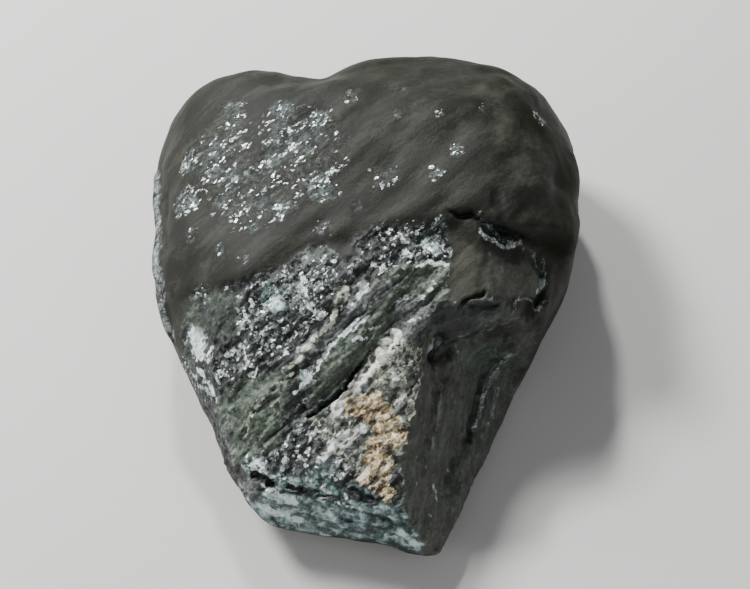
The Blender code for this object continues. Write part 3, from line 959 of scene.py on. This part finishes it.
@dataclass(frozen=True)
class Signal:
    """A number that changes over the surface. Each sum or step with it adds the nodes that do it."""

    bench: "NodeBench"
    socket: Socket

    def __add__(self, other: "Signal | float") -> "Signal":
        """The sum of both."""
        return self.bench.number("Math", {0: self, 1: other}, operation="ADD")

    def __sub__(self, other: "Signal | float") -> "Signal":
        """This number less the other."""
        return self.bench.number("Math", {0: self, 1: other}, operation="SUBTRACT")

    def __rsub__(self, other: float) -> "Signal":
        """A fixed number less this one."""
        return self.bench.number("Math", {0: other, 1: self}, operation="SUBTRACT")

    def __mul__(self, other: "Signal | float") -> "Signal":
        """The product of both."""
        return self.bench.number("Math", {0: self, 1: other}, operation="MULTIPLY")

    def most(self, other: "Signal") -> "Signal":
        """The larger of both."""
        return self.bench.number("Math", {0: self, 1: other}, operation="MAXIMUM")

    def blend(self, other: "Signal | float", share: "Signal | float") -> "Signal":
        """This number, with the other's in its place by this share."""
        return self.bench.number("Mix", {0: share, 2: self, 3: other})

    def between(self, low: float, high: float) -> "Signal":
        """A smooth share from 0 at low to 1 at high."""
        inputs = {"Value": self, "From Min": low, "From Max": high}
        return self.bench.number("MapRange", inputs, interpolation_type="SMOOTHSTEP")

    def spread(self, low: float, high: float) -> "Signal":
        """A number from 0 to 1, spread from low to high."""
        return self.bench.number("MapRange", {"Value": self, "To Min": low, "To Max": high})

    def frayed(self, grit: "Signal") -> "Signal":
        """A zone's share with its border broken up grain by grain."""
        raised = self + (grit - 0.5) * FRAY
        return raised.between(0.36, 0.62) * self.between(0.02, 0.2)

    def ramp(self, stops: Stops) -> Socket:
        """Reads a row of colours.

        Args:
            stops: The places of the colours from 0 to 1, and the colours.

        Returns:
            The colour at this number.
        """
        made = self.bench.node("ValToRGB", {"Fac": self})
        elements = made.color_ramp.elements
        while len(elements) < len(stops):
            elements.new(1)
        for element, (place, colour) in zip(elements, stops):
            element.position = place
            element.color = (*colour, 1)
        return made.outputs["Color"]


class NodeBench:
    """Adds nodes to one material and joins them, so that a pattern reads as plain steps."""

    def __init__(self, material: bpy.types.Material) -> None:
        """Starts on the material's own nodes.

        Args:
            material: The material, which already uses nodes.
        """
        self.tree = material.node_tree
        self.shader = self.tree.nodes["Principled BSDF"]

    def node(self, kind: str, inputs: Inputs | None = None, **settings: object) -> bpy.types.Node:
        """Adds one node.

        Args:
            kind: The node's type name, without the words ShaderNode.
            inputs: A value, a signal or a socket for each input that isn't left as it is.
            **settings: The node's own properties.

        Returns:
            The new node.
        """
        made = self.tree.nodes.new("ShaderNode" + kind)
        for name, value in settings.items():
            setattr(made, name, value)
        for name, value in (inputs or {}).items():
            self.feed(made.inputs[name], value)
        return made

    def number(self, kind: str, inputs: Inputs, output: str | int = 0, **settings: object) -> Signal:
        """Adds one node and takes a number from it."""
        return Signal(self, self.node(kind, inputs, **settings).outputs[output])

    def vector(self, operation: str, inputs: Inputs) -> Socket:
        """One step of arithmetic on vectors."""
        return self.node("VectorMath", inputs, operation=operation).outputs[0]

    def feed(self, socket: Socket, value: object) -> None:
        """Sets a socket to a value, or joins another to it.

        Args:
            socket: The socket that is set.
            value: A number, a vector or a colour, or a signal or a socket that gives it.
        """
        value = value.socket if isinstance(value, Signal) else value
        if isinstance(value, Socket):
            self.tree.links.new(value, socket)
        elif isinstance(value, tuple) and len(value) == 3 and socket.type == "RGBA":
            socket.default_value = (*value, 1)
        else:
            socket.default_value = value

    def mix(self, share: Signal, first: object, second: object) -> Socket:
        """The first colour, with the second in its place by this share."""
        return self.node("Mix", {0: share, 6: first, 7: second}, data_type="RGBA").outputs[2]

    def cloud(self, places: object, per_mm: float, detail: float = 3.0, roughness: float = 0.55) -> Signal:
        """Cloudy noise around 0.5, with this many features in a millimetre."""
        inputs = {"Vector": places, "Scale": per_mm, "Detail": detail, "Roughness": roughness}
        return self.number("TexNoise", inputs, "Fac")

    def grains(self, places: object, per_mm: float) -> tuple[Signal, Socket]:
        """Adds a pattern of packed grains.

        Args:
            places: Where the pattern is read.
            per_mm: How many grains there are in a millimetre.

        Returns:
            The distance to the grain's middle, and a random colour for each grain.
        """
        made = self.node("TexVoronoi", {"Vector": places, "Scale": per_mm})
        return Signal(self, made.outputs["Distance"]), made.outputs["Color"]

    def channels(self, colour: Socket) -> list[Signal]:
        """The red, green and blue of a colour."""
        return [Signal(self, each) for each in self.node("SeparateColor", {"Color": colour}).outputs]

    def along(self, places: object, grain: Grain, stretch: float) -> Socket:
        """Draws out what is read at the places.

        Args:
            places: The places.
            grain: The way along which it is drawn out.
            stretch: How many times longer it gets.

        Returns:
            The places, turned so that their X runs along the grain, and shortened that way.
        """
        x, y, z = grain.along
        bearing, climb = math.atan2(y, x), math.atan2(z, math.hypot(x, y))
        inputs = {"Vector": places, "Rotation": (0, -climb, bearing), "Scale": (stretch, 1, 1)}
        return self.node("Mapping", inputs, vector_type="TEXTURE").outputs[0]


class Marks(NodeBench):
    """The bench with the patterns on it that the stone's colours, gloss and relief share."""

    def __init__(self, material: bpy.types.Material) -> None:
        """Adds the patterns.

        Args:
            material: The material, which already uses nodes.
        """
        super().__init__(material)
        self.zones = {zone: self.number("Attribute", {}, "Fac", attribute_name=zone.value) for zone in Zone}
        places = self.node("TexCoord").outputs["Object"]
        self.places = self.node("Mapping", {"Vector": places, "Scale": (1 / MM, 1 / MM, 1 / MM)}).outputs[0]
        drift = self.node("TexNoise", {"Vector": self.places, "Scale": 1.6, "Detail": 2.0}).outputs["Color"]
        drift = self.vector("SCALE", {0: self.vector("SUBTRACT", {0: drift, 1: MIDDLE}), "Scale": 0.8})
        self.bent = self.vector("ADD", {0: self.places, 1: drift})
        self.drawn = self.layered(6)
        self.fine = self.cloud(self.places, 3.2, 4, 0.65)
        self.streaks = self.cloud(self.drawn, 1.7, 5, 0.62)
        self.soft = self.streaks.blend(self.fine, 0.4)
        self.tint = self.grains(self.bent, 2.9)[1]
        self.slivers = self.channels(self.grains(self.layered(2.4), 3.2)[1])
        self.speckle = self.streaks.blend(self.slivers[0], 0.34).blend(self.fine, 0.2)
        # The lift lightens paler ground, and paints light on faces turned from the lamps and highlights on
        # edges.
        self.lift = self[Zone.LIGHT] * 0.26

    def __getitem__(self, zone: Zone) -> Signal:
        """The share of a zone of ground."""
        return self.zones[zone]

    def layered(self, stretch: float) -> Socket:
        """The places, so that what is read there is drawn out along the layers of the slope."""
        return self.along(self.bent, Form.slope_grain, stretch)


@dataclass(frozen=True)
class StoneFinish:
    """The colours of every kind of ground, each from its darkest grains to its lightest, with painted sheen,
    glints and shade, and their gloss.

    Attributes:
        shade: How much of the ground's colour gives way to painted shade in hollows and cracks, and to the
            dark ground.
        glint_gloss: The roughness of the bright flakes.
        bump: The height of the finest bumps in millimetres.
    """

    skin: Stops = (
        (0.30, (0.006, 0.0065, 0.0048)), (0.50, (0.0182, 0.0188, 0.0140)), (0.76, (0.076, 0.078, 0.062)),
        (0.95, (0.20, 0.22, 0.20)),
    )
    olive: Stops = (
        (0.30, (0.004, 0.005, 0.002)), (0.55, (0.0125, 0.0135, 0.0065)), (0.75, (0.036, 0.038, 0.021)),
    )
    rock: Stops = (
        (0.35, (0.005, 0.007, 0.006)), (0.50, (0.013, 0.016, 0.015)), (0.60, (0.032, 0.039, 0.037)),
        (0.685, (0.105, 0.127, 0.119)), (0.785, (0.64, 0.78, 0.74)),
    )
    green: Stops = (
        (0.32, (0.016, 0.023, 0.016)), (0.48, (0.062, 0.084, 0.060)), (0.60, (0.135, 0.170, 0.128)),
        (0.70, (0.34, 0.39, 0.32)), (0.82, (0.72, 0.78, 0.71)),
    )
    flank: Stops = (
        (0.34, (0.017, 0.020, 0.015)), (0.52, (0.050, 0.057, 0.043)), (0.78, (0.19, 0.205, 0.175)),
    )
    moss: Stops = ((0.34, (0.012, 0.020, 0.015)), (0.52, (0.040, 0.062, 0.047)), (0.72, (0.14, 0.19, 0.155)))
    ash: Stops = (
        (0.32, (0.013, 0.016, 0.015)), (0.47, (0.070, 0.078, 0.074)), (0.60, (0.18, 0.197, 0.190)),
        (0.74, (0.48, 0.54, 0.53)),
    )
    pale: Stops = (
        (0.32, (0.035, 0.046, 0.042)), (0.43, (0.17, 0.21, 0.195)), (0.50, (0.54, 0.66, 0.625)),
        (0.58, (0.89, 1.0, 0.965)),
    )
    cream: Stops = (
        (0.34, (0.018, 0.024, 0.017)), (0.43, (0.085, 0.100, 0.072)), (0.51, (0.28, 0.30, 0.235)),
        (0.59, (0.66, 0.68, 0.55)), (0.69, (0.95, 0.98, 0.88)),
    )
    ochre: Stops = (
        (0.41, (0.030, 0.026, 0.016)), (0.47, (0.18, 0.135, 0.070)), (0.51, (0.48, 0.345, 0.175)),
        (0.56, (0.74, 0.60, 0.35)), (0.62, (0.96, 0.93, 0.76)),
    )
    teal: Stops = (
        (0.38, (0.008, 0.016, 0.017)), (0.45, (0.046, 0.082, 0.083)), (0.52, (0.18, 0.275, 0.27)),
        (0.58, (0.42, 0.58, 0.56)), (0.66, (0.76, 0.92, 0.89)),
    )
    # Painted glints: the bright flakes' colour, from grey to near white, stands in for their sparkle as well
    # as their mineral.
    glint: Stops = ((0.0, (0.10, 0.12, 0.115)), (0.5, (0.36, 0.41, 0.40)), (0.85, (0.95, 1.0, 0.99)))
    # Painted sheen: soft cyan-grey patches on the pitted skin around its glints.
    painted_sheen: Stops = (
        (0.38, (0.006, 0.008, 0.007)), (0.48, (0.028, 0.034, 0.031)), (0.58, (0.10, 0.13, 0.12)),
        (0.69, (0.38, 0.49, 0.46)),
    )
    # Edges: pale wear, and painted highlights on rims that catch the light.
    edge: Stops = ((0.40, (0.05, 0.058, 0.053)), (0.50, (0.22, 0.25, 0.235)), (0.62, (0.70, 0.77, 0.735)))
    # The colour of painted shade in hollows and cracks, and of the dark ground.
    painted_shade_and_dark: Colour = (0.004, 0.0085, 0.009)

    shade: float = 0.75
    glint_gloss: float = 0.24
    bump: float = 0.25

    def material(self) -> bpy.types.Material:
        """Builds the stone's material.

        Returns:
            The material, which reads the stone's places and its zones of ground.
        """
        material = bpy.data.materials.new("dark_stone")
        material.use_nodes = True
        marks = Marks(material)
        fine, split = marks.fine, marks[Zone.SPLIT]
        glints = self._glints(marks)
        ground = self._grainy(marks, self._split(marks, self._skin(marks)))
        rough = fine.spread(0.50, 0.66).blend(fine.spread(0.30, 0.54), split).blend(self.glint_gloss, glints)
        wet = split.spread(0.24, 0.5) * (1.0 - marks[Zone.OLIVE] * 0.7)
        surface = {
            "Base Color": self._edges_glints_and_shade(marks, ground, glints),
            "Roughness": rough,
            "Metallic": glints * 0.5,
            "Specular IOR Level": wet + glints * 0.4,
            "Normal": self._relief(marks, glints),
        }
        for name, value in surface.items():
            marks.feed(marks.shader.inputs[name], value)
        return material

    def _skin(self, marks: Marks) -> Socket:
        """Colours the worn skin.

        Args:
            marks: The shared patterns.

        Returns:
            The skin with its mottling, its darker olive tone and painted sheen on its pitted ground.
        """
        hide = marks.cloud(marks.drawn, 0.5).blend(marks.soft, 0.5)
        hide = hide + (marks.cloud(marks.bent, 2.0, 5, 0.75) - 0.51) * 4.2 * marks[Zone.PITTED]
        olive = marks.cloud(marks.places, 0.35).blend(marks.fine, 0.4).ramp(self.olive)
        # The olive tone, which on the right side also paints shade.
        colour = marks.mix(marks[Zone.OLIVE] * 0.95, (hide + marks.lift).ramp(self.skin), olive)
        # Painted sheen on the pitted skin.
        painted_sheen = marks.cloud(marks.layered(2), 1.6, 5, 0.7).ramp(self.painted_sheen)
        sheened = (marks[Zone.PITTED] + marks.cloud(marks.drawn, 0.6, 2)).between(0.70, 1.30)
        return marks.mix(sheened, colour, painted_sheen)

    def _split(self, marks: Marks, colour: Socket) -> Socket:
        """Lays the split ground over the skin.

        Args:
            marks: The shared patterns.
            colour: The skin.

        Returns:
            The colour with dark rock, green ground, the flank, the front break and the grey bands.
        """
        # The lift paints light as well as paler ground.
        lift, leaf = marks.lift, marks.slivers[1]
        broad = (marks.cloud(marks.drawn, 0.25, 2) - 0.5) * 0.6
        rock = (marks.speckle + broad + lift).ramp(self.rock)
        leafy = (marks.soft.blend(leaf, 0.18) + lift).ramp(self.green)
        rock = marks.mix(marks[Zone.GREEN].frayed(marks.streaks), rock, leafy)
        colour = marks.mix(marks[Zone.SPLIT].frayed(marks.speckle), colour, rock)
        down = marks.along(marks.bent, Form.flank_grain, 2.4)
        slate = marks.cloud(down, 1.2, 4).blend(marks.fine, 0.4) + lift
        flank = marks.mix(marks[Zone.GREEN].frayed(marks.fine), slate.ramp(self.flank), slate.ramp(self.moss))
        colour = marks.mix(marks[Zone.FLANK], colour, flank)
        teal = (marks.cloud(marks.bent, 0.8, 5, 0.68) + lift).ramp(self.teal)
        colour = marks.mix(marks[Zone.BREAK].most(marks[Zone.TEAL].frayed(marks.streaks)), colour, teal)
        ash = (marks.soft.blend(leaf, 0.2) + lift).ramp(self.ash)
        return marks.mix(marks[Zone.ASH].frayed(marks.streaks), colour, ash)

    def _grainy(self, marks: Marks, colour: Socket) -> Socket:
        """Lays the light grainy ground over the split.

        Args:
            marks: The shared patterns.
            colour: What it is laid on.

        Returns:
            The colour with the cream ground, the rusty grains and the pale veins.
        """
        chunk = marks.channels(marks.grains(marks.bent, 1.8)[1])[0]
        slant = marks.cloud(marks.layered(3), 1.3, 5, 0.68)
        rust = marks.cloud(marks.layered(1.6), 0.9, 6, 0.72)
        bright = marks.streaks.blend(marks.slivers[2], 0.4).blend(marks.fine, 0.3)
        warm = marks.slivers[0].blend(rust, 0.86) + marks.lift * 0.3
        creamy = (chunk.blend(slant, 0.80) + marks.lift).ramp(self.cream)
        colour = marks.mix(marks[Zone.CREAM].frayed(bright), colour, creamy)
        colour = marks.mix(marks[Zone.OCHRE].frayed(marks.streaks), colour, warm.ramp(self.ochre))
        snowy = (bright + marks.lift * 0.5).ramp(self.pale)
        return marks.mix(marks[Zone.PALE].frayed(bright), colour, snowy)

    def _edges_glints_and_shade(self, marks: Marks, colour: Socket, glints: Signal) -> Socket:
        """Adds what lies on all kinds of ground: pale and highlit edges, painted glints and painted shade.

        Args:
            marks: The shared patterns.
            colour: The ground.
            glints: Where the bright flakes are.

        Returns:
            The colour with chipped edges that partly carry painted highlights, bright flakes that carry
            painted glints, and painted shade in hollows and cracks.
        """
        # Light edges: partly pale wear, partly painted highlights where rims and scars catch the light.
        chipped = (marks.cloud(marks.places, 1.5, 6, 0.72) - 0.5) * 2.2
        worn_and_highlit = (marks[Zone.EDGE] + chipped).between(0.40, 0.95) * marks[Zone.EDGE].between(0.05, 0.3)
        colour = marks.mix(worn_and_highlit, colour, marks.speckle.blend(marks.fine, 0.5).ramp(self.edge))
        # Painted glints: the flakes take a colour up to near white.
        colour = marks.mix(glints, colour, marks.channels(marks.tint)[2].ramp(self.glint))
        # Painted shade: hollows, cracks and grooves, and the dark ground, go towards one dark colour.
        shade = (marks[Zone.HOLLOW].between(0.66, 1.0) * self.shade).most(marks[Zone.DARK] * self.shade)
        return marks.mix(shade, colour, self.painted_shade_and_dark)

    def _glints(self, marks: Marks) -> Signal:
        """Scatters small and larger bright flakes, whose pale colour is partly mineral and partly painted
        glint.

        Args:
            marks: The shared patterns.

        Returns:
            1 on a flake and 0 beside it.
        """
        glitter = marks[Zone.GLITTER] * 0.28
        fine_glints = glitter + marks[Zone.PITTED] * 0.36
        clumps = (glitter + marks[Zone.LIGHT] * 0.1) * (1.0 - marks[Zone.FLANK]) * marks[Zone.SPLIT]
        return self._flakes(marks, fine_glints, 2.9).most(self._flakes(marks, clumps, 1.6))

    def _flakes(self, marks: Marks, share: Signal, per_mm: float) -> Signal:
        """Scatters bright flakes in clusters, whose pale colour is partly mineral and partly painted glint.

        Args:
            marks: The shared patterns.
            share: How much of the ground they take.
            per_mm: How many flakes there are in a millimetre.

        Returns:
            1 on a flake and 0 beside it.
        """
        shorter = marks.node("Mapping", {"Vector": marks.drawn, "Scale": (3, 1, 1)}).outputs[0]
        distance, tint = marks.grains(shorter, per_mm)
        cluster = (marks.cloud(marks.drawn, 0.9, 3) - 0.5) * 2.2
        chosen = (marks.channels(tint)[1] + cluster + (share - 1.0)).between(0.0, 0.05)
        return chosen * (1.0 - distance.between(0.40, 0.60)) * share.between(0.02, 0.1)

    def _relief(self, marks: Marks, glints: Signal) -> Socket:
        """Adds fine bumps, and flat grains that each catch the light their own way.

        Args:
            marks: The shared patterns.
            glints: Where the bright flakes are.

        Returns:
            The surface's normal.
        """
        lean = marks[Zone.SPLIT] * (0.5 - marks[Zone.FLANK] * 0.42) + marks[Zone.GLITTER] * 0.5
        lean = lean + marks[Zone.PITTED] * 0.25 + glints * 0.35
        tint = marks.vector("SUBTRACT", {0: marks.tint, 1: MIDDLE})
        leaning = marks.vector("SCALE", {0: tint, "Scale": lean})
        turned = marks.vector("ADD", {0: marks.node("NewGeometry").outputs["Normal"], 1: leaning})
        inputs = {
            "Strength": marks[Zone.SPLIT].spread(0.45, 0.7),
            "Distance": self.bump * MM,
            "Height": marks.cloud(marks.drawn, 2.2, 6, 0.7).blend(marks.fine, 0.3),
            "Normal": marks.vector("NORMALIZE", {0: turned}),
        }
        return marks.node("Bump", inputs).outputs[0]


@dataclass(frozen=True)
class Lamp:
    """A square light that faces the stone.

    Attributes:
        name: The light's name.
        place: Where it stands.
        size: How wide it is in millimetres.
        power: Its strength in watts.
    """

    name: str
    place: Place
    size: float
    power: float

    def build(self, aim: Place) -> None:
        """Adds the light.

        Args:
            aim: The place that it faces.
        """
        spot = in_metres(self.place)
        turn = (in_metres(aim) - spot).to_track_quat("-Z", "Y").to_euler()
        bpy.ops.object.light_add(type="AREA", location=spot, rotation=turn)
        light = bpy.context.active_object
        light.name = self.name
        light.data.size = self.size * MM
        light.data.energy = self.power


@dataclass(frozen=True)
class Studio:
    """The pale floor, the soft lights and the camera.

    Attributes:
        aim: The place that the camera looks at.
        elevation: How high the camera stands, in degrees above the floor.
        distance: How far the camera is from its aim.
        lens: The camera's focal length.
        near_limit: How close to the camera things may be seen.
        lamps: The lights.
        floor_size: How wide the floor is in metres.
        floor_colour: The floor's colour.
        floor_gloss: The floor's roughness.
        sky_colour: The colour of the light from all around.
        sky_strength: Its strength.
    """

    aim: Place = (0.8, 0.9, 11.0)
    elevation: float = 60
    distance: float = 220
    lens: float = 90
    near_limit: float = 10
    lamps: tuple[Lamp, ...] = (
        Lamp("key_light", (-190, 150, 260), 80, 1.6),
        Lamp("window_light", (-60, 260, 260), 30, 0.8),
        Lamp("fill_light", (230, -170, 240), 220, 0.15),
        Lamp("side_light", (-280, -40, 80), 60, 0.22),
    )
    floor_size: float = 3
    floor_colour: Colour = (0.80, 0.79, 0.77)
    floor_gloss: float = 0.9
    sky_colour: Colour = (0.80, 0.83, 0.86)
    sky_strength: float = 0.20

    def build(self) -> None:
        """Adds the floor, the lights, the sky and the camera."""
        self._floor()
        for lamp in self.lamps:
            lamp.build(self.aim)
        self._sky()
        self._camera()

    def _floor(self) -> None:
        """A plain pale floor, which is no part of the stone."""
        bpy.ops.mesh.primitive_plane_add(size=self.floor_size)
        floor = bpy.context.active_object
        floor.name = "floor"
        material = bpy.data.materials.new("pale_floor")
        material.use_nodes = True
        shader = material.node_tree.nodes["Principled BSDF"]
        shader.inputs["Base Color"].default_value = (*self.floor_colour, 1)
        shader.inputs["Roughness"].default_value = self.floor_gloss
        floor.data.materials.append(material)

    def _sky(self) -> None:
        """Even, weak light from all around."""
        world = bpy.data.worlds.new("studio")
        world.use_nodes = True
        background = world.node_tree.nodes["Background"]
        background.inputs["Color"].default_value = (*self.sky_colour, 1)
        background.inputs["Strength"].default_value = self.sky_strength
        bpy.context.scene.world = world

    def _camera(self) -> None:
        """The camera, in front of the stone and above it."""
        slant = math.radians(self.elevation)
        back = Vector((0, -math.cos(slant), math.sin(slant)))
        spot = in_metres(self.aim) + back * self.distance * MM
        bpy.ops.object.camera_add(location=spot, rotation=(math.radians(90 - self.elevation), 0, 0))
        camera = bpy.context.active_object
        camera.name = "camera"
        camera.data.lens = self.lens
        camera.data.clip_start = self.near_limit * MM
        bpy.context.scene.camera = camera


def main() -> None:
    """Builds the stone and the studio."""
    logging.basicConfig(level=logging.INFO, format="%(name)s: %(message)s")
    stone = Form().build()
    stone.data.materials.clear()
    stone.data.materials.append(StoneFinish().material())
    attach(stone, BODY)
    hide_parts(NODE)
    triangles = sum(len(face.vertices) - 2 for face in stone.data.polygons)
    log.info("%s has %d triangles", stone.name, triangles)
    Studio().build()


if __name__ == "__main__":
    main()
